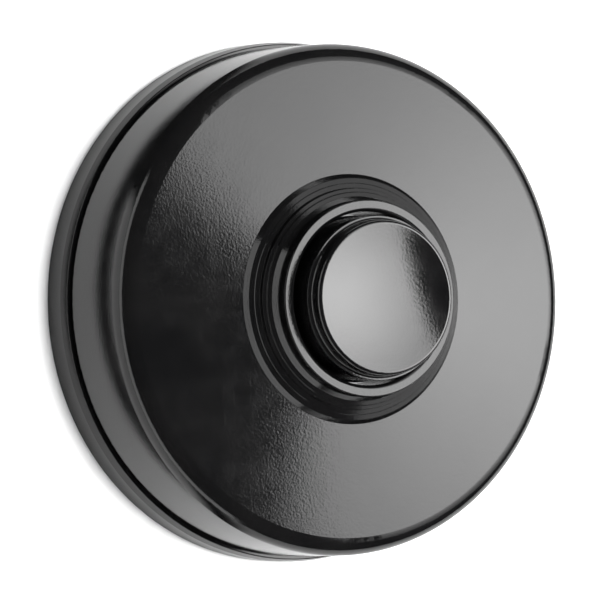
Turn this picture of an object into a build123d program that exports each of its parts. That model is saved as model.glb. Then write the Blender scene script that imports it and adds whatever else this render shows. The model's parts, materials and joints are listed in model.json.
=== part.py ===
from build123d import *
import math
import os

# Round surface-mounted push button in moulded plastic, as an assembly of separate pieces.
# Millimetres. The origin is the centre of the back face that goes against the wall,
# +Z is up, and the button faces -Y. A "height" below is the distance out from the wall.

# Rear base
BASE_RADIUS = 32.5
BASE_FLOOR = 3.5
BASE_LEDGE = 4.75
BASE_SHOULDER = (32.2, 3.5)
NECK_RADIUS = 29.0
NECK_INNER = 27.0
NECK_TOP = 9.5
CABLE_HOLE_RADIUS = 6.5
SLOT_SPACING = 42.0
SLOT_LENGTH = 8.0
SLOT_WIDTH = 4.5

# Front cover
GASKET_THICKNESS = 0.3
COVER_REAR = BASE_LEDGE + GASKET_THICKNESS
COVER_RADIUS = 31.5
COVER_DRAFT = 0.3
COVER_INNER = 29.4
COVER_WALL = 2.4
COVER_CORNER = 2.4
FACE_SLOPE = 4.0
HUB_FOOT_RADIUS = 15.35
HUB_FOOT_HEIGHT = 18.4
HUB_STEP_1 = (14.18, 19.31)
HUB_STEP_2 = (13.55, 20.1)
HUB_STEP_3 = (13.05, 20.4)
HUB_CHAMFER_RUN = 0.5
HUB_CHAMFER_RISE = 0.65
HUB_TREAD_SLOPE = 15.0
HUB_RISER_DRAFT = 0.06
LIP_RADIUS = 12.04
LIP_HEIGHT = 22.82
LIP_ROUNDING = 0.5
BORE_RADIUS = 10.62
SHOULDER_HEIGHT = 19.0
BOSS_INNER = 12.0
BOSS_RADIUS = 14.6
BOSS_REAR = 13.0

# Button, plunger and spring
BUTTON_TRAVEL = 2.0
SKIRT_RADIUS = 10.03
SKIRT_HEIGHT = 24.85
CAP_RADIUS = 9.5
RIM_HEIGHT = 26.75
RIM_ROUNDING = 0.45
DISH_DEPTH = 0.7
FLANGE_RADIUS = 11.9
FLANGE_THICKNESS = 1.7
FLANGE_GAP = 0.1
BUTTON_INNER = 8.6
BUTTON_CEILING = 22.3
PLUNGER_RADIUS = 2.0
PLUNGER_TOP = 23.6
PLUNGER_TIP = 9.9
PLUNGER_BOSS = 3.4
SPRING_RADIUS = 5.9
SPRING_WIRE = 0.4
SPRING_TURNS = 4
SEAT_THICKNESS = 0.5

# Guide plate across the back of the boss
PLATE_THICKNESS = 1.2
PLATE_DISC = 10.0
PLATE_ARM_WIDTH = 8.0
PILLAR_OFFSET = 17.5
PILLAR_RADIUS = 3.2
GUIDE_SCREW_RADIUS = 1.25
GUIDE_CLEARANCE = 0.06

# Contacts and terminals
BLOCK_INSIDE = 14.5
BLOCK_OUTSIDE = 22.5
BLOCK_HALF_WIDTH = 12.5
BLOCK_TOP = 9.3
BLOCK_CENTRE = (BLOCK_INSIDE + BLOCK_OUTSIDE) / 2
TERMINAL_OFFSET = 8.8
WIRE_HOLE_RADIUS = 1.5
WIRE_HOLE_HEIGHT = 6.2
SCREW_RADIUS = 1.5
LEAF_THICKNESS = 0.4
LEAF_WIDTH = 6.0
LEAF_FOOT_WIDTH = 7.0
LEAF_HINGE = -14.0
LEAF_END = 12.0
LEAF_GAP = 0.15
LEAF_TOP = BLOCK_TOP + LEAF_THICKNESS
TIP_X = 9.5
TIP_RADIUS = 1.6
TIP_HEIGHT = 0.6
FIXED_STRIP = 0.8
FIXED_STRIP_WIDTH = 8.0
FIXED_TIP_TOP = 5.0
CLAMP_THICKNESS = 0.8
INSERT_RADIUS = 2.4
INSERT_BOTTOM = 0.6


def facing(height):
    """Plane parallel to the wall at a height, seen from the front: local x is X, local y is Z."""
    return Plane(origin=(0, -height, 0), x_dir=(1, 0, 0), z_dir=(0, -1, 0))


def turn(*corners, mode=Mode.ADD):
    """Revolve an outline about the button's axis: each corner is radius, height, rounding."""
    with BuildSketch(Plane.XY) as outline:
        with BuildLine():
            FilletPolyline(
                *[(radius, -height) for radius, height, rounding in corners],
                radius=[rounding for radius, height, rounding in corners],
                close=True,
            )
        make_face()
    revolve(outline.sketch, axis=Axis.Y, mode=mode)


def discs(places, radius, start, end, mode=Mode.ADD):
    """Round pins or holes at (x, z) places, from one height to a greater one."""
    with BuildSketch(facing(start)) as outline:
        with Locations(*places):
            Circle(radius)
    extrude(outline.sketch, amount=end - start, mode=mode)


def bars(places, length, width, start, end, mode=Mode.ADD):
    """Rectangular bars, length along X and width along Z, from one height to a greater one."""
    with BuildSketch(facing(start)) as outline:
        with Locations(*places):
            Rectangle(length, width)
    extrude(outline.sketch, amount=end - start, mode=mode)


def slotted_screws(places, head_radius, head_start, head_end, tip_height, slot_from):
    """Cheese-head screws that share one head size, with a driver slot in the outer end."""
    slot_depth = 0.7
    slot_width = 0.7
    discs(places, head_radius, head_start, head_end)
    discs(places, SCREW_RADIUS, tip_height, head_start)
    bars(places, slot_width, 2 * head_radius + 1, slot_from, slot_from + slot_depth, Mode.SUBTRACT)


def save(piece, name):
    """Label a finished piece and write its STEP file."""
    piece.part.label = name
    export_step(piece.part, f"parts/{name}.step")


def face_height(radius):
    """Height of the cover's shallow conical front face at a radius."""
    return HUB_FOOT_HEIGHT - (radius - HUB_FOOT_RADIUS) * math.tan(math.radians(FACE_SLOPE))


def tread(outer, inner_radius, rounding):
    """Inner end of a hub step's sloped tread, where the next riser starts."""
    rise = (outer[0] - inner_radius) * math.tan(math.radians(HUB_TREAD_SLOPE))
    return (inner_radius, outer[1] + rise, rounding)


os.makedirs("parts", exist_ok=True)

centre = [(0, 0)]
block_left = [(-BLOCK_CENTRE, 0)]
block_right = [(BLOCK_CENTRE, 0)]
fixing_places = block_left + block_right
pillar_places = [(0, PILLAR_OFFSET), (0, -PILLAR_OFFSET)]
left_terminals = [(-BLOCK_CENTRE, TERMINAL_OFFSET), (-BLOCK_CENTRE, -TERMINAL_OFFSET)]
right_terminals = [(BLOCK_CENTRE, TERMINAL_OFFSET), (BLOCK_CENTRE, -TERMINAL_OFFSET)]

# Rear base: a round plate with a rounded shoulder, a ledge for the gasket and a raised neck
# that the cover goes over. Cable hole in the middle, two slots for the wall screws.
with BuildPart() as rear_base:
    turn(
        (0, 0, 0),
        (BASE_RADIUS, 0, 0.2),
        (BASE_RADIUS, BASE_SHOULDER[1], 0.3),
        (BASE_SHOULDER[0], BASE_LEDGE, 0.15),
        (NECK_RADIUS, BASE_LEDGE, 0),
        (NECK_RADIUS, NECK_TOP, 0.3),
        (NECK_INNER, NECK_TOP, 0.3),
        (NECK_INNER, BASE_FLOOR, 0.5),
        (0, BASE_FLOOR, 0),
    )
    discs(centre, CABLE_HOLE_RADIUS, 0, BASE_FLOOR, Mode.SUBTRACT)
    discs(fixing_places, INSERT_RADIUS, INSERT_BOTTOM, BASE_FLOOR, Mode.SUBTRACT)
    with BuildSketch(facing(0)):
        with Locations((0, SLOT_SPACING / 2), (0, -SLOT_SPACING / 2)):
            SlotOverall(SLOT_LENGTH, SLOT_WIDTH, rotation=90)
    extrude(amount=BASE_FLOOR, mode=Mode.SUBTRACT)
save(rear_base, "rear_base")

# Thin rubber ring in the seam between the base and the cover.
with BuildPart() as cover_gasket:
    turn(
        (COVER_INNER, BASE_LEDGE, 0),
        (COVER_RADIUS, BASE_LEDGE, 0.1),
        (COVER_RADIUS, COVER_REAR, 0.1),
        (COVER_INNER, COVER_REAR, 0),
    )
save(cover_gasket, "cover_gasket")

# Front cover: a cup with a shallow conical face and a stepped hub around the button's bore.
# Behind the hub are a boss that holds the button and two pillars for the guide plate.
foot_chamfer_top = (HUB_FOOT_RADIUS - HUB_CHAMFER_RUN, HUB_FOOT_HEIGHT + HUB_CHAMFER_RISE)
riser_1 = tread(foot_chamfer_top, HUB_STEP_1[0] + HUB_RISER_DRAFT, 0.03)
riser_2 = tread(HUB_STEP_1, HUB_STEP_2[0] + HUB_RISER_DRAFT, 0.05)
riser_3 = tread(HUB_STEP_2, HUB_STEP_3[0] + HUB_RISER_DRAFT, 0.03)
lip_foot = tread(HUB_STEP_3, LIP_RADIUS + HUB_CHAMFER_RUN, 0.05)
lip_chamfer_top = (LIP_RADIUS, lip_foot[1] + HUB_CHAMFER_RISE)
with BuildPart() as front_cover:
    turn(
        (COVER_RADIUS + COVER_DRAFT, COVER_REAR, 0.25),
        (COVER_RADIUS, face_height(COVER_RADIUS), COVER_CORNER),
        (HUB_FOOT_RADIUS, HUB_FOOT_HEIGHT, 0.05),
        (*foot_chamfer_top, 0.08),
        riser_1,
        (*HUB_STEP_1, 0.04),
        riser_2,
        (*HUB_STEP_2, 0.05),
        riser_3,
        (*HUB_STEP_3, 0.04),
        lip_foot,
        (*lip_chamfer_top, 0.1),
        (LIP_RADIUS, LIP_HEIGHT, 0.15),
        (BORE_RADIUS, LIP_HEIGHT, LIP_ROUNDING),
        (BORE_RADIUS, SHOULDER_HEIGHT, 0),
        (BOSS_INNER, SHOULDER_HEIGHT, 0),
        (BOSS_INNER, BOSS_REAR, 0),
        (BOSS_RADIUS, BOSS_REAR, 0.3),
        (BOSS_RADIUS, face_height(BOSS_RADIUS) - COVER_WALL, 0.8),
        (COVER_INNER - 0.05, face_height(COVER_INNER) - COVER_WALL, 1.6),
        (COVER_INNER, COVER_REAR, 0),
    )
    discs(pillar_places, PILLAR_RADIUS, BOSS_REAR, face_height(PILLAR_OFFSET) - 1)
    discs(pillar_places, 2, BOSS_REAR, face_height(PILLAR_OFFSET) - 2, Mode.SUBTRACT)
    discs(centre, BOSS_INNER, BOSS_REAR, SHOULDER_HEIGHT, Mode.SUBTRACT)
save(front_cover, "front_cover")

# Two brass inserts moulded into the cover's pillars.
with BuildPart() as cover_inserts:
    discs(pillar_places, 2, BOSS_REAR, face_height(PILLAR_OFFSET) - 2)
    discs(pillar_places, GUIDE_SCREW_RADIUS, BOSS_REAR, face_height(PILLAR_OFFSET) - 2.6, Mode.SUBTRACT)
save(cover_inserts, "cover_inserts")

# Guide plate: a disc with two arms, screwed to the pillars. It holds the spring and guides
# the plunger through its centre hole.
plate_back = BOSS_REAR - PLATE_THICKNESS
with BuildPart() as guide_plate:
    discs(centre, PLATE_DISC, plate_back, BOSS_REAR)
    with BuildSketch(facing(plate_back)):
        SlotOverall(2 * PILLAR_OFFSET + PLATE_ARM_WIDTH, PLATE_ARM_WIDTH, rotation=90)
    extrude(amount=PLATE_THICKNESS)
    discs(centre, PLUNGER_RADIUS + GUIDE_CLEARANCE, plate_back, BOSS_REAR, Mode.SUBTRACT)
    discs(pillar_places, GUIDE_SCREW_RADIUS, plate_back, BOSS_REAR, Mode.SUBTRACT)
save(guide_plate, "guide_plate")

# Two small cheese-head screws that hold the guide plate, with their heads to the rear.
guide_head = 1.3
guide_head_radius = 2.3
with BuildPart() as guide_screws:
    discs(pillar_places, guide_head_radius, plate_back - guide_head, plate_back)
    discs(pillar_places, GUIDE_SCREW_RADIUS, plate_back, face_height(PILLAR_OFFSET) - 2.6)
    bars(pillar_places, 0.6, 6, plate_back - guide_head, plate_back - 0.7, Mode.SUBTRACT)
save(guide_screws, "guide_screws")

# Fibre washer that the spring stands on.
with BuildPart() as spring_seat:
    discs(centre, SPRING_RADIUS + 1.2, BOSS_REAR, BOSS_REAR + SEAT_THICKNESS)
    discs(centre, PLUNGER_RADIUS + 0.3, BOSS_REAR, BOSS_REAR + SEAT_THICKNESS, Mode.SUBTRACT)
save(spring_seat, "spring_seat")

# Button: a hollow cap with a dished top and a stepped side, and a flange behind the bore's
# shoulder that keeps it in the cover.
flange_front = SHOULDER_HEIGHT - FLANGE_GAP
flange_back = flange_front - FLANGE_THICKNESS
dish_radius = (CAP_RADIUS**2 + DISH_DEPTH**2) / (2 * DISH_DEPTH)
with BuildPart() as button:
    turn(
        (0, BUTTON_CEILING, 0),
        (BUTTON_INNER, BUTTON_CEILING, 0.8),
        (BUTTON_INNER, flange_back, 0),
        (FLANGE_RADIUS, flange_back, 0.2),
        (FLANGE_RADIUS, flange_front, 0.2),
        (SKIRT_RADIUS, flange_front, 0.2),
        (SKIRT_RADIUS, SKIRT_HEIGHT, 0.08),
        (CAP_RADIUS, SKIRT_HEIGHT + 0.05, 0.35),
        (CAP_RADIUS, RIM_HEIGHT, 0),
        (0, RIM_HEIGHT, 0),
    )
    discs(centre, PLUNGER_BOSS, BUTTON_CEILING - 2.3, BUTTON_CEILING)
    discs(centre, PLUNGER_RADIUS, BUTTON_CEILING - 2.3, PLUNGER_TOP, Mode.SUBTRACT)
    with Locations((0, -(RIM_HEIGHT - DISH_DEPTH + dish_radius), 0)):
        Sphere(dish_radius, mode=Mode.SUBTRACT)
    fillet(button.edges().filter_by(GeomType.CIRCLE).sort_by(Axis.Y)[0], RIM_ROUNDING)
save(button, "button")

# Insulating plunger pressed into the button, with a round tip that meets the contact leaf.
with BuildPart() as plunger:
    turn(
        (0, PLUNGER_TIP, 0),
        (PLUNGER_RADIUS, PLUNGER_TIP, PLUNGER_RADIUS - 0.01),
        (PLUNGER_RADIUS, PLUNGER_TOP, 0),
        (0, PLUNGER_TOP, 0),
    )
save(plunger, "plunger")

# Coil spring that returns the button, between the fibre washer and the button's ceiling.
spring_start = BOSS_REAR + SEAT_THICKNESS + SPRING_WIRE
spring_height = BUTTON_CEILING - SPRING_WIRE - spring_start
with BuildPart() as return_spring:
    with BuildLine():
        coil = Helix(
            spring_height / SPRING_TURNS,
            spring_height,
            SPRING_RADIUS,
            center=(0, -spring_start, 0),
            direction=(0, -1, 0),
        )
    with BuildSketch(Plane(origin=coil @ 0, z_dir=coil % 0)):
        Circle(SPRING_WIRE)
    sweep(is_frenet=True)
save(return_spring, "return_spring")


def terminal_block(side, relief):
    """Brass block with two wire holes, two clamp-screw holes and a fixing hole."""
    places = [(side * BLOCK_CENTRE, 0)]
    screws = [(side * BLOCK_CENTRE, TERMINAL_OFFSET), (side * BLOCK_CENTRE, -TERMINAL_OFFSET)]
    depth = BLOCK_OUTSIDE - BLOCK_INSIDE
    bars(places, depth, 2 * BLOCK_HALF_WIDTH, BASE_FLOOR, BLOCK_TOP)
    with BuildSketch(Plane.YZ.offset(side * BLOCK_CENTRE - depth / 2)) as wire_holes:
        with Locations((-WIRE_HOLE_HEIGHT, TERMINAL_OFFSET), (-WIRE_HOLE_HEIGHT, -TERMINAL_OFFSET)):
            Circle(WIRE_HOLE_RADIUS)
    extrude(wire_holes.sketch, amount=depth, mode=Mode.SUBTRACT)
    discs(screws, SCREW_RADIUS, WIRE_HOLE_HEIGHT, BLOCK_TOP, Mode.SUBTRACT)
    discs(places, SCREW_RADIUS, BASE_FLOOR, BLOCK_TOP, Mode.SUBTRACT)
    if relief > 0:
        bars(places, depth, FIXED_STRIP_WIDTH, BASE_FLOOR, BASE_FLOOR + relief, Mode.SUBTRACT)


# Two brass terminal blocks. The right one stands on the fixed contact's strip.
with BuildPart() as left_terminal_block:
    terminal_block(-1, 0)
save(left_terminal_block, "left_terminal_block")

with BuildPart() as right_terminal_block:
    terminal_block(1, FIXED_STRIP)
save(right_terminal_block, "right_terminal_block")

# Four clamp screws that hold the wires.
clamp_head = BLOCK_TOP + 0.5
with BuildPart() as terminal_screws:
    slotted_screws(
        left_terminals + right_terminals,
        2.6,
        clamp_head,
        clamp_head + 1.7,
        WIRE_HOLE_HEIGHT + 0.9,
        clamp_head + 1.0,
    )
save(terminal_screws, "terminal_screws")

# Brass inserts moulded into the base for the two fixing screws.
with BuildPart() as base_inserts:
    discs(fixing_places, INSERT_RADIUS, INSERT_BOTTOM, BASE_FLOOR)
    discs(fixing_places, SCREW_RADIUS, INSERT_BOTTOM + 0.5, BASE_FLOOR, Mode.SUBTRACT)
save(base_inserts, "base_inserts")

# Fixing screws: the left one also clamps the contact leaf's foot, the right one holds the
# fixed contact.
left_seat = LEAF_TOP + CLAMP_THICKNESS
with BuildPart() as leaf_fixing_screw:
    slotted_screws(block_left, 2.8, left_seat, left_seat + 1.6, INSERT_BOTTOM + 0.6, left_seat + 0.9)
save(leaf_fixing_screw, "leaf_fixing_screw")

with BuildPart() as contact_fixing_screw:
    slotted_screws(block_right, 2.8, BLOCK_TOP, BLOCK_TOP + 1.6, INSERT_BOTTOM + 0.6, BLOCK_TOP + 0.9)
save(contact_fixing_screw, "contact_fixing_screw")

# Clamp plate over the leaf's foot.
with BuildPart() as leaf_clamp_plate:
    bars(block_left, BLOCK_OUTSIDE - BLOCK_INSIDE - 1, LEAF_FOOT_WIDTH, LEAF_TOP, left_seat)
    fillet(leaf_clamp_plate.edges().filter_by(Axis.Y), 1)
    discs(block_left, SCREW_RADIUS, LEAF_TOP, left_seat, Mode.SUBTRACT)
save(leaf_clamp_plate, "leaf_clamp_plate")

# Contact leaf: one springy strip. Its clamped foot stays with the base, and the free length
# beyond the block's edge swings as a stand-in for its bending.
foot_start = -BLOCK_OUTSIDE + 0.5
with BuildPart() as leaf_foot:
    bars(
        [((foot_start + LEAF_HINGE) / 2, 0)],
        LEAF_HINGE - foot_start,
        LEAF_FOOT_WIDTH,
        BLOCK_TOP,
        LEAF_TOP,
    )
    discs(block_left, SCREW_RADIUS, BLOCK_TOP, LEAF_TOP, Mode.SUBTRACT)
save(leaf_foot, "leaf_foot")

leaf_start = LEAF_HINGE + LEAF_GAP
with BuildPart() as contact_leaf:
    bars([((leaf_start + LEAF_END) / 2, 0)], LEAF_END - leaf_start, LEAF_WIDTH, BLOCK_TOP, LEAF_TOP)
    fillet(contact_leaf.edges().filter_by(Axis.Y).group_by(Axis.X)[-1], 2)
    discs([(TIP_X, 0)], TIP_RADIUS / 2, BLOCK_TOP, LEAF_TOP, Mode.SUBTRACT)
save(contact_leaf, "contact_leaf")

# Silver contact riveted through the leaf.
with BuildPart() as moving_contact_tip:
    turn(
        (0, BLOCK_TOP - TIP_HEIGHT, 0),
        (TIP_RADIUS, BLOCK_TOP - TIP_HEIGHT, 0.3),
        (TIP_RADIUS, BLOCK_TOP, 0),
        (TIP_RADIUS / 2, BLOCK_TOP, 0),
        (TIP_RADIUS / 2, LEAF_TOP, 0),
        (TIP_RADIUS - 0.4, LEAF_TOP, 0),
        (TIP_RADIUS - 0.4, LEAF_TOP + 0.3, 0.2),
        (0, LEAF_TOP + 0.3, 0),
    )
moving_contact_tip.part.position = (TIP_X, 0, 0)
save(moving_contact_tip, "moving_contact_tip")

# Fixed contact: a brass strip on the floor of the base that runs under the right block.
strip_start = TIP_X - 3.5
with BuildPart() as fixed_contact:
    bars(
        [((strip_start + BLOCK_OUTSIDE) / 2, 0)],
        BLOCK_OUTSIDE - strip_start,
        FIXED_STRIP_WIDTH,
        BASE_FLOOR,
        BASE_FLOOR + FIXED_STRIP,
    )
    fillet(fixed_contact.edges().filter_by(Axis.Y).group_by(Axis.X)[0], 2)
    discs(block_right, SCREW_RADIUS, BASE_FLOOR, BASE_FLOOR + FIXED_STRIP, Mode.SUBTRACT)
save(fixed_contact, "fixed_contact")

# Silver contact on the fixed strip, just short of the leaf's contact at full travel.
with BuildPart() as fixed_contact_tip:
    discs([(TIP_X, 0)], TIP_RADIUS, BASE_FLOOR + FIXED_STRIP, FIXED_TIP_TOP)
    fillet(fixed_contact_tip.edges().filter_by(GeomType.CIRCLE).sort_by(Axis.Y)[0], 0.3)
save(fixed_contact_tip, "fixed_contact_tip")
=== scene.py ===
import json
import math

import bmesh
import bpy
from mathutils import Matrix, Vector


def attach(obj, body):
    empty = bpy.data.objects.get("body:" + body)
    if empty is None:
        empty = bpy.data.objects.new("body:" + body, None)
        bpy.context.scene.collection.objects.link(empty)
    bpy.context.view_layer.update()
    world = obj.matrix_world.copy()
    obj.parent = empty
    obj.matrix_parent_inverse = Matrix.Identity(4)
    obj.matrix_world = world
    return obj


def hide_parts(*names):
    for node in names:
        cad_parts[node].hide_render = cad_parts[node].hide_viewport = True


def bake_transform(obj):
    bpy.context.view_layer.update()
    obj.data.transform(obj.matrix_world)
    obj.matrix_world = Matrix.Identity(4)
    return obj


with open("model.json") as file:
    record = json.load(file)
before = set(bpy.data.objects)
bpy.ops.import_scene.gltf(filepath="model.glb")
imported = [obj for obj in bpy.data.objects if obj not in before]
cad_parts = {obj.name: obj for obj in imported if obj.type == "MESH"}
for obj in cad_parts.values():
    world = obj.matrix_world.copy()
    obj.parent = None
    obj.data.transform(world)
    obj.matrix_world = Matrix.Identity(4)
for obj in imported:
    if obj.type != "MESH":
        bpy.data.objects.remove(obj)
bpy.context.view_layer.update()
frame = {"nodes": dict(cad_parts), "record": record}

MM = 0.001
NODES = frame["nodes"]


# ---------------------------------------------------------------- materials


class Nodes:
    """Short-hand for building one material's node tree."""

    def __init__(self, name):
        self.material = bpy.data.materials.new(name)
        self.material.use_nodes = True
        self.tree = self.material.node_tree
        self.tree.nodes.clear()
        self.place = self.add("ShaderNodeTexCoord").outputs["Object"]
        self.output = self.add("ShaderNodeOutputMaterial")

    def add(self, kind, **settings):
        node = self.tree.nodes.new(kind)
        for key, value in settings.items():
            setattr(node, key, value)
        return node

    def link(self, source, target):
        self.tree.links.new(source, target)

    def scaled(self, factors):
        mapping = self.add("ShaderNodeMapping")
        mapping.inputs["Scale"].default_value = factors
        self.link(self.place, mapping.inputs["Vector"])
        return mapping.outputs["Vector"]

    def noise(self, scale, detail=2.0, place=None):
        node = self.add("ShaderNodeTexNoise")
        node.inputs["Scale"].default_value = scale
        node.inputs["Detail"].default_value = detail
        self.link(place or self.place, node.inputs["Vector"])
        return node.outputs["Fac"]

    def spread(self, value, low, high, start=0.3, end=0.7):
        node = self.add("ShaderNodeMapRange")
        node.inputs["From Min"].default_value = start
        node.inputs["From Max"].default_value = end
        node.inputs["To Min"].default_value = low
        node.inputs["To Max"].default_value = high
        self.link(value, node.inputs["Value"])
        return node.outputs["Result"]

    def colours(self, value, dark, light, start=0.35, end=0.65):
        node = self.add("ShaderNodeValToRGB")
        node.color_ramp.elements[0].position = start
        node.color_ramp.elements[0].color = (*dark, 1)
        node.color_ramp.elements[1].position = end
        node.color_ramp.elements[1].color = (*light, 1)
        self.link(value, node.inputs["Fac"])
        return node.outputs["Color"]

    def bump(self, height, distance, under=None):
        node = self.add("ShaderNodeBump")
        node.inputs["Strength"].default_value = 1.0
        node.inputs["Distance"].default_value = distance
        self.link(height, node.inputs["Height"])
        if under is not None:
            self.link(under, node.inputs["Normal"])
        return node.outputs["Normal"]

    def surface(self, colour, roughness, normal, metallic=0.0, ior=1.5):
        shader = self.add("ShaderNodeBsdfPrincipled")
        shader.inputs["Metallic"].default_value = metallic
        shader.inputs["IOR"].default_value = ior
        self.link(colour, shader.inputs["Base Color"])
        self.link(roughness, shader.inputs["Roughness"])
        self.link(normal, shader.inputs["Normal"])
        self.link(shader.outputs["BSDF"], self.output.inputs["Surface"])
        return self.material


def phenolic(name, ior, smooth, rough, peel):
    """Polished black moulding: orange peel, faint scuffs and a little variation in gloss."""
    n = Nodes(name)
    colour = n.colours(n.noise(140, 5), (0.0028, 0.0028, 0.0030), (0.0046, 0.0045, 0.0046))
    roughness = n.spread(n.noise(420, 6), smooth, rough)
    fine = n.bump(n.noise(3600, 3), peel * 3.2e-6)
    broad = n.bump(n.noise(1300, 2), peel * 0.5e-6, fine)
    return n.surface(colour, roughness, broad, ior=ior)


def metal(name, dark, light, smooth, rough, grain, factors=(1, 1, 1)):
    """Metal with a drawn or machined grain and patchy tarnish."""
    n = Nodes(name)
    colour = n.colours(n.noise(260, 4), dark, light)
    roughness = n.spread(n.noise(900, 4), smooth, rough)
    brushed = n.noise(5200, 3, n.scaled(factors))
    return n.surface(colour, roughness, n.bump(brushed, grain * 1e-6), metallic=1.0)


def dull(name, dark, light, smooth, rough, grain, scale=2600):
    """Rubber, fibre and nylon."""
    n = Nodes(name)
    colour = n.colours(n.noise(700, 5), dark, light)
    roughness = n.spread(n.noise(1500, 4), smooth, rough)
    return n.surface(colour, roughness, n.bump(n.noise(scale, 5), grain * 1e-6))


FINISHES = {
    "base_moulding": phenolic("base_moulding", 1.50, 0.06, 0.11, 1.3),
    "cover_moulding": phenolic("cover_moulding", 1.50, 0.06, 0.11, 2.6),
    "button_moulding": phenolic("button_moulding", 1.62, 0.06, 0.11, 2.2),
    "gasket_rubber": dull(
        "gasket_rubber", (0.012, 0.012, 0.012), (0.022, 0.022, 0.021),
        0.55, 0.8, 6,
    ),
    "brass": metal("brass", (0.68, 0.48, 0.19), (0.76, 0.56, 0.25), 0.22, 0.42, 3, (1, 12, 1)),
    "screw_steel": metal("screw_steel", (0.46, 0.47, 0.49), (0.70, 0.70, 0.71), 0.18, 0.34, 2),
    "plate_steel": metal(
        "plate_steel", (0.40, 0.41, 0.42), (0.60, 0.60, 0.60),
        0.28, 0.45, 3, (1, 1, 0.06),
    ),
    "spring_bronze": metal(
        "spring_bronze", (0.66, 0.39, 0.21), (0.72, 0.44, 0.25),
        0.20, 0.36, 2, (0.06, 1, 1),
    ),
    "silver": metal("silver", (0.66, 0.64, 0.60), (0.88, 0.87, 0.84), 0.16, 0.32, 2),
    "spring_steel": metal("spring_steel", (0.30, 0.30, 0.32), (0.50, 0.50, 0.51), 0.20, 0.34, 1),
    "fibre": dull("fibre", (0.20, 0.045, 0.025), (0.34, 0.10, 0.06), 0.5, 0.75, 9, 3800),
    "plunger_moulding": dull("plunger_moulding", (0.60, 0.55, 0.44), (0.74, 0.70, 0.60), 0.32, 0.5, 3),
}


def finish_as(obj, slot):
    obj.data.materials.clear()
    obj.data.materials.append(FINISHES[slot])


for row in frame["record"]["subparts"]:
    finish_as(NODES[row["node"]], row["material_slot"])


# ------------------------------------------------------------------ pieces


def piece_from(name, points, faces, slot, sharp_above=35):
    """A mesh object from points in millimetres, with outward normals and crisp edges kept."""
    mesh = bpy.data.meshes.new(name)
    mesh.from_pydata([Vector(point) * MM for point in points], [], faces)
    tidy = bmesh.new()
    tidy.from_mesh(mesh)
    bmesh.ops.remove_doubles(tidy, verts=tidy.verts[:], dist=1e-7)
    bmesh.ops.dissolve_degenerate(tidy, edges=tidy.edges[:], dist=1e-8)
    bmesh.ops.recalc_face_normals(tidy, faces=tidy.faces[:])
    tidy.to_mesh(mesh)
    tidy.free()
    for polygon in mesh.polygons:
        polygon.use_smooth = True
    mesh.set_sharp_from_angle(angle=math.radians(sharp_above))
    obj = bpy.data.objects.new(name, mesh)
    bpy.context.scene.collection.objects.link(obj)
    finish_as(obj, slot)
    return obj


def rings_to_faces(rings, around, first=0):
    """Quads between rings of points that follow each other, with both ends closed."""
    faces = []
    for i in range(rings - 1):
        for j in range(around):
            k = (j + 1) % around
            a = first + i * around
            faces.append((a + j, a + k, a + around + k, a + around + j))
    faces.append(tuple(first + j for j in range(around)))
    faces.append(tuple(first + (rings - 1) * around + j for j in range(around)))
    return faces


SPRING_FOOT = 13.5
SPRING_HEAD = 22.3
SPRING_COIL = 5.9
SPRING_WIRE = 0.4
CLOSED_TURNS = 0.9
OPEN_TURNS = 4.0


def spring_height(turn):
    """Height of the wire's centre: the end turns lie flat and the ones between climb."""
    low = SPRING_FOOT + SPRING_WIRE + 0.01
    high = SPRING_HEAD - SPRING_WIRE - 0.01
    closed_rise = 2 * SPRING_WIRE * CLOSED_TURNS
    if turn < CLOSED_TURNS:
        return low + closed_rise * (turn / CLOSED_TURNS) ** 2
    left = 2 * CLOSED_TURNS + OPEN_TURNS - turn
    if left < CLOSED_TURNS:
        return high - closed_rise * (left / CLOSED_TURNS) ** 2
    share = (turn - CLOSED_TURNS) / OPEN_TURNS
    return low + closed_rise + (high - low - 2 * closed_rise) * share


spring_points = []
spring_steps = 240
spring_sides = 12
for i in range(spring_steps + 1):
    turn = (2 * CLOSED_TURNS + OPEN_TURNS) * i / spring_steps
    angle = 2 * math.pi * turn
    outward = Vector((math.cos(angle), 0, math.sin(angle)))
    climb = (spring_height(turn + 0.01) - spring_height(turn - 0.01)) / 0.02
    along = Vector((-math.sin(angle), 0, math.cos(angle))) * (2 * math.pi * SPRING_COIL)
    along.y = -climb
    across = outward.cross(along.normalized())
    middle = outward * SPRING_COIL + Vector((0, -spring_height(turn), 0))
    for j in range(spring_sides):
        roll = 2 * math.pi * j / spring_sides
        spring_points.append(
            middle + (outward * math.cos(roll) + across * math.sin(roll)) * SPRING_WIRE
        )
coil = piece_from(
    "coil_spring",
    spring_points,
    rings_to_faces(spring_steps + 1, spring_sides),
    "spring_steel",
    60,
)
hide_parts("return_spring")
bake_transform(coil)

# The free length of the contact leaf, from the block's edge to its rounded end, with a hole
# for the silver rivet.
LEAF_BACK = 9.3
LEAF_FRONT = 9.7
LEAF_ROOT = -14.0
LEAF_TIP = 12.0
LEAF_HALF = 3.0
LEAF_CORNER = 2.0
RIVET_PLACE = 9.5
RIVET_HOLE = 0.8


def leaf_half_width(x):
    beyond = x - (LEAF_TIP - LEAF_CORNER)
    if beyond <= 0:
        return LEAF_HALF
    return LEAF_HALF - LEAF_CORNER + math.sqrt(max(0.0, LEAF_CORNER**2 - beyond**2))


def leaf_hole(x):
    return math.sqrt(max(0.0, RIVET_HOLE**2 - (x - RIVET_PLACE) ** 2))


# Even columns along the strip, then finer ones across the rivet's hole and the rounded end.
columns = [LEAF_ROOT + 0.5 * i for i in range(46)]
columns += [RIVET_PLACE - RIVET_HOLE * math.cos(math.pi * i / 12) for i in range(13)]
columns += [LEAF_TIP - LEAF_CORNER * (1 - math.sin(math.pi * i / 20)) for i in range(11)]
columns = sorted({round(x, 4) for x in columns})

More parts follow.
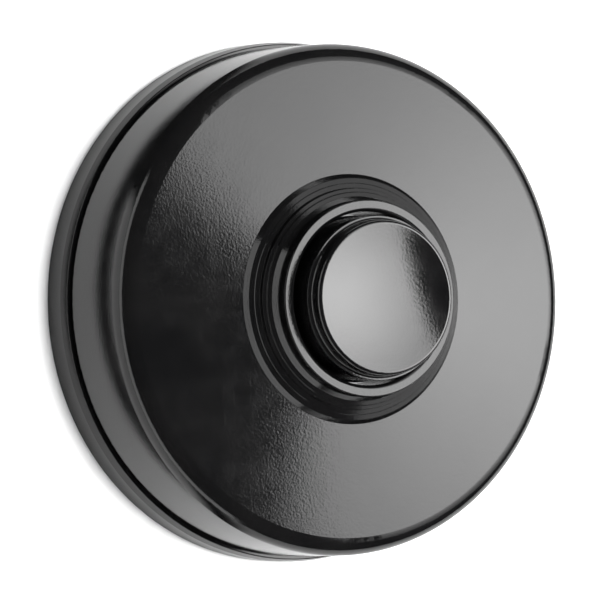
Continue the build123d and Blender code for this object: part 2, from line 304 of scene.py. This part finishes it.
# Each column has four points at the back and four at the front: edge, hole, hole, edge.
leaf_points = []
for x in columns:
    for height in (LEAF_BACK, LEAF_FRONT):
        for z in (-leaf_half_width(x), -leaf_hole(x), leaf_hole(x), leaf_half_width(x)):
            leaf_points.append((x, -height, z))
leaf_faces = [(0, 1, 5, 4), (2, 3, 7, 6)]
for i in range(len(columns) - 1):
    a = 8 * i
    b = a + 8
    for j in (0, 2, 4, 6):
        leaf_faces.append((a + j, a + j + 1, b + j + 1, b + j))
    for j in (0, 3):
        leaf_faces.append((a + j, a + j + 4, b + j + 4, b + j))
    if leaf_hole(columns[i]) + leaf_hole(columns[i + 1]) > 1e-3:
        for j in (1, 2):
            leaf_faces.append((a + j, a + j + 4, b + j + 4, b + j))
last = 8 * (len(columns) - 1)
leaf_faces += [(last, last + 1, last + 5, last + 4), (last + 2, last + 3, last + 7, last + 6)]
leaf = piece_from("leaf_strip", leaf_points, leaf_faces, "spring_bronze")
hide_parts("contact_leaf")
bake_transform(leaf)

# Screws: a head is its radius and height, a slot is its width and depth.
THREAD_PITCH = 0.5
THREAD_DEPTH = 0.22
THREAD_ROWS_PER_TURN = 6
THREAD_RUN_OUT = 0.6
POINT_TAPER = 0.25
SHANK_CLEARANCE = 0.03
SCREW_SIDES = 32
TERMINAL_HEAD = (2.6, 1.6)
FIXING_HEAD = (2.8, 1.6)
GUIDE_HEAD = (2.3, 1.3)
SHANK_RADIUS = 1.5
GUIDE_SHANK_RADIUS = 1.25
DRIVER_SLOT = (0.7, 0.7)
GUIDE_DRIVER_SLOT = (0.6, 0.7)
SLOT_TURN_PER_MM = 17


def screw(name, node, place, head, shank_radius, slot, body, rearward=False):
    """A threaded cheese-head screw with a driver slot, between the CAD screw's two ends."""
    box = [NODES[node].matrix_world @ Vector(corner) for corner in NODES[node].bound_box]
    ends = (max(-corner.y for corner in box) / MM, min(-corner.y for corner in box) / MM)
    top, tip = (ends[1], ends[0]) if rearward else ends
    head_radius, head_height = head
    inward = 1 if rearward else -1
    length = abs(top - tip)
    around = SCREW_SIDES
    major = shank_radius - SHANK_CLEARANCE
    outline = [
        (head_radius * 0.80, 0.0),
        (head_radius - 0.22, 0.0),
        (head_radius - 0.06, 0.07),
        (head_radius - 0.01, 0.22),
        (head_radius - 0.01, head_height - 0.05),
        (head_radius - 0.06, head_height),
        (major - THREAD_DEPTH, head_height),
    ]
    rings = [[(radius, depth)] * around for radius, depth in outline]
    rows = int((length - head_height) / THREAD_PITCH * THREAD_ROWS_PER_TURN)
    for i in range(1, rows + 1):
        depth = head_height + (length - head_height) * i / rows
        near_end = min(1.0, (length - depth) / THREAD_RUN_OUT)
        ring = []
        for j in range(around):
            phase = (depth / THREAD_PITCH - j / around) % 1.0
            crest = 1 - abs(2 * phase - 1)
            radius = major - THREAD_DEPTH + THREAD_DEPTH * crest * near_end
            ring.append((radius - POINT_TAPER * (1 - near_end), depth))
        rings.append(ring)
    points = []
    for ring in rings:
        for j, (radius, depth) in enumerate(ring):
            angle = 2 * math.pi * j / around
            height = top + inward * depth
            points.append(
                (
                    place[0] + radius * math.cos(angle),
                    -height,
                    place[1] + radius * math.sin(angle),
                )
            )
    body_of_screw = piece_from(name, points, rings_to_faces(len(rings), around), "screw_steel", 40)
    slot_width, slot_depth = slot
    cutter_mesh = bpy.data.meshes.new("cutter")
    cut = bmesh.new()
    # Each screw stopped at its own angle. The cutter reaches 1 mm past the head's face.
    stopped_at = math.radians(SLOT_TURN_PER_MM * (place[0] + 2 * place[1]))
    turned = Matrix.Rotation(stopped_at, 4, "Y")
    cut_height = top + inward * (slot_depth / 2 - 0.5)
    middle = Matrix.Translation(Vector((place[0], -cut_height, place[1])) * MM)
    size = Matrix.Diagonal((slot_width * MM, (slot_depth + 1) * MM, 3 * head_radius * MM, 1))
    bmesh.ops.create_cube(cut, size=1, matrix=middle @ turned @ size)
    cut.to_mesh(cutter_mesh)
    cut.free()
    cutter = bpy.data.objects.new("cutter", cutter_mesh)
    bpy.context.scene.collection.objects.link(cutter)
    boolean = body_of_screw.modifiers.new("slot", "BOOLEAN")
    boolean.operation = "DIFFERENCE"
    boolean.object = cutter
    bpy.context.view_layer.update()
    shaped = bpy.data.meshes.new_from_object(
        body_of_screw.evaluated_get(bpy.context.evaluated_depsgraph_get())
    )
    body_of_screw.modifiers.clear()
    body_of_screw.data = shaped
    bpy.data.objects.remove(cutter)
    for polygon in shaped.polygons:
        polygon.use_smooth = True
    shaped.set_sharp_from_angle(angle=math.radians(40))
    finish_as(body_of_screw, "screw_steel")
    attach(body_of_screw, body)
    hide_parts(node)
    return body_of_screw


BLOCK_CENTRE = 18.5
TERMINAL_OFFSET = 8.8
PILLAR_OFFSET = 17.5
terminals = [
    (x, z) for x in (-BLOCK_CENTRE, BLOCK_CENTRE) for z in (-TERMINAL_OFFSET, TERMINAL_OFFSET)
]
for count, place in enumerate(terminals):
    screw(
        f"terminal_screw_{count + 1}",
        "terminal_screws",
        place,
        TERMINAL_HEAD,
        SHANK_RADIUS,
        DRIVER_SLOT,
        "base",
    )
for name, node, x in (
    ("leaf_screw", "leaf_fixing_screw", -BLOCK_CENTRE),
    ("contact_screw", "contact_fixing_screw", BLOCK_CENTRE),
):
    screw(name, node, (x, 0), FIXING_HEAD, SHANK_RADIUS, DRIVER_SLOT, "base")
for count, z in enumerate((-PILLAR_OFFSET, PILLAR_OFFSET)):
    screw(
        f"guide_screw_{count + 1}",
        "guide_screws",
        (0, z),
        GUIDE_HEAD,
        GUIDE_SHANK_RADIUS,
        GUIDE_DRIVER_SLOT,
        "cover",
        True,
    )


# ------------------------------------------------------------------- stage


def flat(name, corners, material):
    """A four-sided stage surface, in metres."""
    mesh = bpy.data.meshes.new(name)
    mesh.from_pydata(corners, [], [(0, 1, 2, 3)])
    mesh.materials.append(material)
    obj = bpy.data.objects.new(name, mesh)
    bpy.context.scene.collection.objects.link(obj)
    return obj


def studio_paper(name, level, reflected=None):
    """Matte paper that is clear from behind, so that it never hides the object."""
    n = Nodes(name)
    shade = n.add("ShaderNodeBsdfDiffuse")
    colour = n.colours(n.noise(3, 2), (level - 0.01,) * 3, (level,) * 3)
    if reflected is not None:
        darker = n.add("ShaderNodeMix", data_type="RGBA")
        darker.inputs[7].default_value = (reflected, reflected, reflected, 1)
        n.link(n.add("ShaderNodeLightPath").outputs["Is Glossy Ray"], darker.inputs[0])
        n.link(colour, darker.inputs[6])
        colour = darker.outputs[2]
    n.link(colour, shade.inputs["Color"])
    clear = n.add("ShaderNodeBsdfTransparent")
    mix = n.add("ShaderNodeMixShader")
    n.link(n.add("ShaderNodeNewGeometry").outputs["Backfacing"], mix.inputs["Fac"])
    n.link(shade.outputs["BSDF"], mix.inputs[1])
    n.link(clear.outputs["BSDF"], mix.inputs[2])
    n.link(mix.outputs["Shader"], n.output.inputs["Surface"])
    return n.material


paper = studio_paper("studio_paper", 0.90, 0.54)
floor_paper = studio_paper("floor_paper", 0.85, 0.02)

# The wall has an opening that the base covers, so that light reaches the base's back.
WALL_REACH = 6.0
WALL_OPENING = 31.8 * MM
WALL_PLACE = 0.02 * MM
WALL_STEPS = 128
wall_mesh = bpy.data.meshes.new("wall")
rim = bmesh.new()
inner = []
outer = []
for i in range(WALL_STEPS):
    angle = 2 * math.pi * i / WALL_STEPS
    c, s = math.cos(angle), math.sin(angle)
    inner.append(rim.verts.new((WALL_OPENING * c, WALL_PLACE, WALL_OPENING * s)))
    reach = WALL_REACH / max(abs(c), abs(s))
    outer.append(rim.verts.new((reach * c, WALL_PLACE, reach * s)))
for i in range(WALL_STEPS):
    j = (i + 1) % WALL_STEPS
    rim.faces.new((inner[i], outer[i], outer[j], inner[j]))
rim.normal_update()
if rim.faces[:][0].normal.y > 0:
    bmesh.ops.reverse_faces(rim, faces=rim.faces[:])
rim.to_mesh(wall_mesh)
rim.free()
wall_mesh.materials.append(paper)
wall = bpy.data.objects.new("wall", wall_mesh)
bpy.context.scene.collection.objects.link(wall)

FLOOR = -0.45
floor = flat(
    "floor",
    [(-6, -6, FLOOR), (6, -6, FLOOR), (6, WALL_PLACE, FLOOR), (-6, WALL_PLACE, FLOOR)],
    floor_paper,
)
floor.visible_glossy = False


def softbox_material(strength):
    """A lamp's diffuser: brightest in its middle, falling off smoothly to its edges."""
    n = Nodes("softbox")
    split = n.add("ShaderNodeSeparateXYZ")
    n.link(n.place, split.inputs["Vector"])

    def math_node(operation, a, b=None):
        node = n.add("ShaderNodeMath", operation=operation)
        for socket, value in zip(node.inputs, (a, b)):
            if value is None:
                continue
            if isinstance(value, (int, float)):
                socket.default_value = value
            else:
                n.link(value, socket)
        return node.outputs["Value"]

    def bell(value, middle, below, above):
        away = math_node("SUBTRACT", value, middle)
        low = math_node("DIVIDE", math_node("MINIMUM", away, 0.0), below)
        high = math_node("DIVIDE", math_node("MAXIMUM", away, 0.0), above)
        both = math_node("ADD", low, high)
        square = math_node("MULTIPLY", both, both)
        return math_node("POWER", math.e, math_node("MULTIPLY", square, -1.0))

    across = bell(split.outputs["X"], 0.400, 0.260, 0.42)
    up = bell(split.outputs["Z"], 0.014, 0.164, 0.167)
    glow = math_node("MULTIPLY", across, up)
    level = math_node("MULTIPLY", math_node("ADD", glow, 0.135), strength)
    emission = n.add("ShaderNodeEmission")
    n.link(level, emission.inputs["Strength"])
    emission.inputs["Color"].default_value = (1, 1, 1, 1)
    n.link(emission.outputs["Emission"], n.output.inputs["Surface"])
    return n.material


# Large softbox at the front right with a slanted near edge.
BOX_DISTANCE = -0.50
BOX_HALF_HEIGHT = 0.42
BOX_FAR_SIDE = 1.15
BOX_STRENGTH = 7.6
EDGE_MIDDLE = 0.210
EDGE_SLANT = -0.434
softbox = flat(
    "softbox",
    [
        (EDGE_MIDDLE + EDGE_SLANT * -BOX_HALF_HEIGHT, BOX_DISTANCE, -BOX_HALF_HEIGHT),
        (EDGE_MIDDLE + EDGE_SLANT * BOX_HALF_HEIGHT, BOX_DISTANCE, BOX_HALF_HEIGHT),
        (BOX_FAR_SIDE, BOX_DISTANCE, BOX_HALF_HEIGHT),
        (BOX_FAR_SIDE, BOX_DISTANCE, -BOX_HALF_HEIGHT),
    ],
    softbox_material(BOX_STRENGTH),
)
softbox.visible_camera = False
softbox.visible_shadow = False


def ring_material():
    """Soft-edged shade that only shows in reflections: dark in the middle of its width."""
    n = Nodes("flag")
    fade = n.add("ShaderNodeAttribute", attribute_name="fade").outputs["Fac"]
    clear = n.add("ShaderNodeBsdfTransparent")
    dark = n.add("ShaderNodeEmission")
    dark.inputs["Strength"].default_value = 0.02
    mix = n.add("ShaderNodeMixShader")
    n.link(fade, mix.inputs["Fac"])
    n.link(clear.outputs["BSDF"], mix.inputs[1])
    n.link(dark.outputs["Emission"], mix.inputs[2])
    n.link(mix.outputs["Shader"], n.output.inputs["Surface"])
    return n.material


def smooth_step(value, start, end):
    share = min(1.0, max(0.0, (value - start) / (end - start)))
    return share * share * (3 - 2 * share)


# A round dark shade lies on the wall around the object and shows in the cover's side. It is a
# narrow ring at the left and lower left, and it reaches far out at the upper left.
SHADE_CENTRE = (-1.0 * MM, -0.8 * MM)
SHADE_RADIUS = 38.4 * MM
SHADE_WIDTHS = [-1.6, -1.1, -0.7, 0.0, 0.6, 1.0, 1.4, 3.0, 10.0, 40.0, 200.0, 2500.0]
SHADE_NARROW = [0.0, 0.5, 1.0, 1.0, 1.0, 0.6, 0.0, 0.0, 0.0, 0.0, 0.0, 0.0]
SHADE_WIDE = [0.0, 0.5, 1.0, 1.0, 1.0, 1.0, 1.0, 1.0, 1.0, 1.0, 1.0, 1.0]
shade_mesh = bpy.data.meshes.new("flag")
points = []
fades = []
faces = []
TURNS = 180
for i in range(TURNS):
    degrees = 360 * i / TURNS
    angle = math.radians(degrees)
    present = smooth_step(degrees, 88, 104) * (1 - smooth_step(degrees, 252, 268))
    wide = 1 - smooth_step(degrees, 146, 152)
    wide = max(wide, smooth_step(degrees, 238, 250))
    for width, narrow, broad in zip(SHADE_WIDTHS, SHADE_NARROW, SHADE_WIDE):
        reach = SHADE_RADIUS + width * MM
        points.append(
            (
                SHADE_CENTRE[0] + reach * math.cos(angle),
                -0.03 * MM,
                SHADE_CENTRE[1] + reach * math.sin(angle),
            )
        )
        fades.append(present * (narrow + (broad - narrow) * wide))
rows = len(SHADE_WIDTHS)
for i in range(TURNS):
    for j in range(rows - 1):
        k = (i + 1) % TURNS
        faces.append((i * rows + j, i * rows + j + 1, k * rows + j + 1, k * rows + j))
shade_mesh.from_pydata(points, [], faces)
shade_mesh.attributes.new("fade", "FLOAT", "POINT").data.foreach_set("value", fades)
shade_mesh.materials.append(ring_material())
flag = bpy.data.objects.new("flag", shade_mesh)
bpy.context.scene.collection.objects.link(flag)
flag.visible_camera = False
flag.visible_diffuse = False
flag.visible_shadow = False


# ------------------------------------------------------------------ lights


def area(name, place, target, size, power):
    lamp = bpy.data.lights.new(name, "AREA")
    lamp.shape = "RECTANGLE"
    lamp.size, lamp.size_y = size
    lamp.energy = power
    obj = bpy.data.objects.new(name, lamp)
    obj.location = place
    obj.rotation_mode = "QUATERNION"
    obj.rotation_quaternion = (Vector(target) - Vector(place)).to_track_quat("-Z", "Y")
    obj.visible_camera = False
    bpy.context.scene.collection.objects.link(obj)
    return obj


# These fills light the wall only, so the black surfaces keep their dark areas. The front one
# is a little to the right, which leaves a narrow soft shadow at the object's left.
for name, place, size, power in (
    ("fill_top", (-0.1, -0.9, 1.0), (1.2, 0.9), 9.0),
    ("fill_front", (0.19, -1.4, 0.05), (0.26, 0.26), 24.0),
):
    fill = area(name, place, (0, 0, 0), size, power)
    fill.visible_glossy = False
    fill.data.specular_factor = 0.0

world = bpy.data.worlds.new("studio")
bpy.context.scene.world = world
world.use_nodes = True
wt = world.node_tree
wt.nodes.clear()
world_out = wt.nodes.new("ShaderNodeOutputWorld")
seen = wt.nodes.new("ShaderNodeBackground")
seen.inputs["Color"].default_value = (0.93, 0.93, 0.93, 1)
unseen = wt.nodes.new("ShaderNodeBackground")
direction = wt.nodes.new("ShaderNodeTexCoord").outputs["Generated"]
split = wt.nodes.new("ShaderNodeSeparateXYZ")
wt.links.new(direction, split.inputs["Vector"])


def world_math(operation, a, b):
    node = wt.nodes.new("ShaderNodeMath")
    node.operation = operation
    for socket, value in zip(node.inputs, (a, b)):
        if isinstance(value, (int, float)):
            socket.default_value = value
        else:
            wt.links.new(value, socket)
    return node.outputs["Value"]


def world_ramp(value, start, end, low=0.0, high=1.0):
    node = wt.nodes.new("ShaderNodeMapRange")
    node.inputs["From Min"].default_value = start
    node.inputs["From Max"].default_value = end
    node.inputs["To Min"].default_value = low
    node.inputs["To Max"].default_value = high
    wt.links.new(value, node.inputs["Value"])
    return node.outputs["Result"]


# The world is dark in front of the wall, apart from a low pale card at the left and below
# that shows only in the gloss of the hub's chamfers and the cover's corner.
behind = world_ramp(split.outputs["Y"], -0.05, 0.5, 0.03, 0.9)
in_front = world_ramp(split.outputs["Y"], -0.31, -0.27)
slanted = world_math("ADD", split.outputs["Z"], world_math("MULTIPLY", split.outputs["X"], 0.935))
card = world_math("MULTIPLY", in_front, world_ramp(slanted, 0.03, -0.03))
card = world_math("MULTIPLY", card, world_ramp(split.outputs["X"], -0.03, -0.09))
light_path = wt.nodes.new("ShaderNodeLightPath")
card = world_math("MULTIPLY", card, light_path.outputs["Is Glossy Ray"])
level = world_math("ADD", behind, world_math("MULTIPLY", card, 1.9))
wt.links.new(level, unseen.inputs["Strength"])
unseen.inputs["Color"].default_value = (1, 1, 1, 1)
choose = wt.nodes.new("ShaderNodeMixShader")
wt.links.new(light_path.outputs["Is Camera Ray"], choose.inputs["Fac"])
wt.links.new(unseen.outputs["Background"], choose.inputs[1])
wt.links.new(seen.outputs["Background"], choose.inputs[2])
wt.links.new(choose.outputs["Shader"], world_out.inputs["Surface"])


# ------------------------------------------------------------------ camera

AZIMUTH = math.radians(-30.2)
ELEVATION = math.radians(-1.45)
CAMERA_DISTANCE = 664.5 * MM
AIM_SIDE = 2.92 * MM
AIM_UP = 0.29 * MM
back = Vector(
    (
        math.sin(AZIMUTH) * math.cos(ELEVATION),
        -math.cos(AZIMUTH) * math.cos(ELEVATION),
        math.sin(ELEVATION),
    )
)
side = Vector((math.cos(AZIMUTH), math.sin(AZIMUTH), 0))
upward = side.cross(-back)
aim = side * AIM_SIDE + upward * AIM_UP
camera_data = bpy.data.cameras.new("camera")
camera_data.sensor_width = 36
camera_data.lens = 317.2
camera_data.clip_start = 0.01
camera_data.clip_end = 30
camera = bpy.data.objects.new("camera", camera_data)
bpy.context.scene.collection.objects.link(camera)
camera.location = aim + back * CAMERA_DISTANCE
camera.rotation_mode = "QUATERNION"
camera.rotation_quaternion = (-back).to_track_quat("-Z", "Y")
bpy.context.scene.camera = camera
bpy.context.scene.view_settings.view_transform = "Standard"
bpy.context.scene.view_settings.look = "None"
